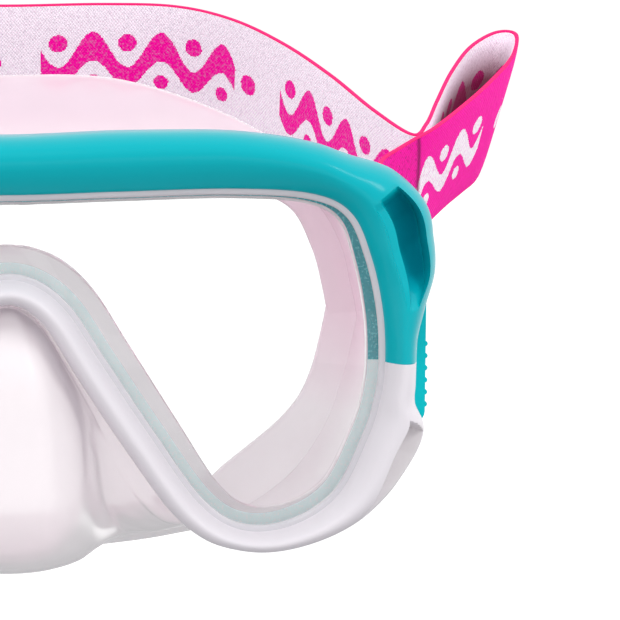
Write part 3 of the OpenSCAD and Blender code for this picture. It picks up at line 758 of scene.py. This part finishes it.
def strap_grid(upper, lower, s, rows):
    """The webbing's surface: its outer face, upper edge, inner face and lower edge, by station."""
    def offset_line(line, reach):
        points = spline(line, s, False)
        along = unit(np.gradient(points, axis=0))
        return points + reach * np.stack([-along[:, 1], along[:, 0]], 1)

    def face(side):
        lines = []
        for t in rows:
            reach = side * STRAP_T / 2 * (1 - 0.55 * abs(2 * t - 1) ** 6)
            top, bottom = offset_line(upper, reach), offset_line(lower, reach)
            plan = bottom + (top - bottom) * t
            height = np.full(len(s), (t - 0.5) * (STRAP_W - 0.3))
            lines.append(swing_to_plan(plan[:, 0], plan[:, 1], height))
        return np.stack(lines, 1)

    outer, inner = face(1), face(-1)
    edge_low = 0.5 * (outer[:, 0] + inner[:, 0]) + (outer[:, 0] - outer[:, 1]) * 0.05
    edge_high = 0.5 * (outer[:, -1] + inner[:, -1]) + (outer[:, -1] - outer[:, -2]) * 0.05
    return np.concatenate([outer, edge_high[:, None], inner[:, ::-1], edge_low[:, None]], 1)


def strap_uv(mesh, length, across):
    """Metre UVs along and across the webbing, from the two places of each vertex."""
    vertex = np.zeros(len(mesh.loops), int)
    mesh.loops.foreach_get("vertex_index", vertex)
    flat = np.stack([length[vertex // len(across)], across[vertex % len(across)]], 1) * MM
    mesh.uv_layers.new(name="webbing").data.foreach_set("uv", flat.ravel())


def strap():
    """The webbing from tail to tail, patterned up to the seams and plain beyond them on the outside."""
    upper, lower = strap_line(LOOP_UPPER), strap_line(LOOP_LOWER)
    last = len(upper) - 1
    s = np.linspace(0, last, last * STRAP_STEPS + 1)
    rows = 0.5 - 0.5 * np.cos(np.linspace(0, math.pi, 13))
    grid = strap_grid(upper, lower, s, rows)
    obj = mesh_object("strap_webbing", grid, False, True, True, 60, "strap_swing")
    mesh = obj.data
    middle = 0.5 * (spline(upper, s, False) + spline(lower, s, False))
    length = np.concatenate([[0], np.cumsum(np.linalg.norm(np.diff(middle, axis=0), axis=1))])
    length -= length[-1] / 2
    across = np.concatenate([(rows - 0.5), [0.5], (rows[::-1] - 0.5), [-0.5]]) * STRAP_W
    count = len(across)
    strap_uv(mesh, length, across)

    # The pull loop starts after the back's points and ends at the seam, counted from the middle.
    loop_start = len(BACK) + 1
    seam = len(BACK) + len(LOOP_UPPER) - 2
    first, seam_at = (abs(length[(last // 2 + k) * STRAP_STEPS]) for k in (loop_start, seam))
    for material in (jacquard("strap_outer", PINK, PALE, seam_at),
                     jacquard("strap_inner", PALE, rgba(250, 0, 160), seam_at, pocket=(first, seam_at)),
                     jacquard("strap_velour", PINK, PINK, seam_at, plain=True)):
        mesh.materials.append(material)
    for poly in mesh.polygons:
        ids = [mesh.loops[i].vertex_index for i in poly.loop_indices]
        column = min(i % count for i in ids)
        station = min(i // count for i in ids) / STRAP_STEPS
        inside = len(rows) <= column < 2 * len(rows) + 1
        past_seam = abs(station - last / 2) > seam
        poly.material_index = 1 if inside else (2 if past_seam else 0)
    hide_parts("strap")


strap()

# ---------------------------------------------------------------------------------------------------
# Buckle hardware keeps its CAD shape
# ---------------------------------------------------------------------------------------------------
for names, material, slot_name in (
        (("buckle_mount_left", "buckle_mount_right", "buckle_left", "buckle_right"), CYAN, "cyan_plastic"),
        (("lock_lever_left", "lock_lever_right"), DARK, "dark_cyan_plastic"),
        (("mount_screws", "pivot_pins", "strap_bar_left", "strap_bar_right", "lever_pin_left",
          "lever_pin_right"), STEEL, "steel"),
        (("pivot_clips", "lever_spring_left", "lever_spring_right"), SPRING, "spring_steel")):
    for node in names:
        paint(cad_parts[node], material)


# ---------------------------------------------------------------------------------------------------
# Studio
# ---------------------------------------------------------------------------------------------------
def studio():
    """A pale floor that brightens away from the mask, an even white room and two soft lamps."""
    floor_z = -0.32
    size = 6.0
    near, far = 0.7, 1.3         # where the floor starts to brighten and where it is brightest
    mesh = bpy.data.meshes.new("studio_floor")
    mesh.from_pydata([(-size, -size, floor_z), (size, -size, floor_z), (size, size, floor_z),
                      (-size, size, floor_z)], [], [(0, 1, 2, 3)])
    floor = bpy.data.objects.new("studio_floor", mesh)
    bpy.context.scene.collection.objects.link(floor)
    n = Nodes("studio_floor")
    n.set(Roughness=0.9, Specular_IOR_Level=0.1, Emission_Color=(1, 1, 1, 1))
    place = n.add("ShaderNodeTexCoord").outputs["Object"]
    reach = n.add("ShaderNodeVectorMath", i0=place)
    reach.operation = "LENGTH"
    away = n.add("ShaderNodeMapRange", Value=reach.outputs["Value"])
    away.inputs["From Min"].default_value = near
    away.inputs["From Max"].default_value = far
    n.link(n.mix(away.outputs[0], (0.42, 0.42, 0.43, 1), (0.92, 0.92, 0.92, 1)), "Base Color")
    n.link(n.math("MULTIPLY", away.outputs[0], 0.3), "Emission Strength")
    mesh.materials.append(n.material)

    world = bpy.data.worlds.new("studio")
    bpy.context.scene.world = world
    world.use_nodes = True
    tree = world.node_tree
    background = tree.nodes["Background"]
    coords = tree.nodes.new("ShaderNodeTexCoord")
    split = tree.nodes.new("ShaderNodeSeparateXYZ")
    ramp = tree.nodes.new("ShaderNodeMapRange")
    tree.links.new(coords.outputs["Generated"], split.inputs[0])
    tree.links.new(split.outputs[1], ramp.inputs["Value"])
    ramp.inputs["From Min"].default_value = -1.0
    ramp.inputs["From Max"].default_value = 0.0
    ramp.inputs["To Min"].default_value = 0.6
    ramp.inputs["To Max"].default_value = 1.03
    tree.links.new(ramp.outputs[0], background.inputs[1])
    background.inputs[0].default_value = (1, 1, 1, 1)

    def lamp(name, energy, size_m, place):
        data = bpy.data.lights.new(name, "AREA")
        data.energy = energy
        data.size = size_m
        obj = bpy.data.objects.new(name, data)
        obj.location = place
        obj.rotation_mode = "QUATERNION"
        obj.rotation_quaternion = (-Vector(place)).to_track_quat("-Z", "Y")
        bpy.context.scene.collection.objects.link(obj)

    lamp("key", 2.0, 0.4, (-0.3, -0.7, 0.6))
    lamp("side", 2.2, 0.3, (0.62, -0.5, 0.62))


def camera():
    """Stands in front of the nose, a little above, and looks at the wearer's left half of the window."""
    data = bpy.data.cameras.new("camera")
    obj = bpy.data.objects.new("camera", data)
    bpy.context.scene.collection.objects.link(obj)
    distance, elevation = 0.5, math.radians(6)
    aim_x, aim_z = 0.0536, 0.0054
    view_width = 0.1107143       # what the picture's width shows at the glass
    sensor_width = 36.0
    place = np.array([0, FRONT_Y - distance * math.cos(elevation), aim_z + distance * math.sin(elevation)])
    aim = np.array([aim_x, FRONT_Y, aim_z])
    obj.location = place
    obj.rotation_mode = "QUATERNION"
    obj.rotation_quaternion = Vector(aim - place).to_track_quat("-Z", "Y")
    data.sensor_width = sensor_width
    data.lens = sensor_width * np.linalg.norm(aim - place) / view_width
    data.clip_start = 0.01
    bpy.context.scene.camera = obj


studio()
camera()
bpy.context.scene.view_settings.view_transform = "Standard"
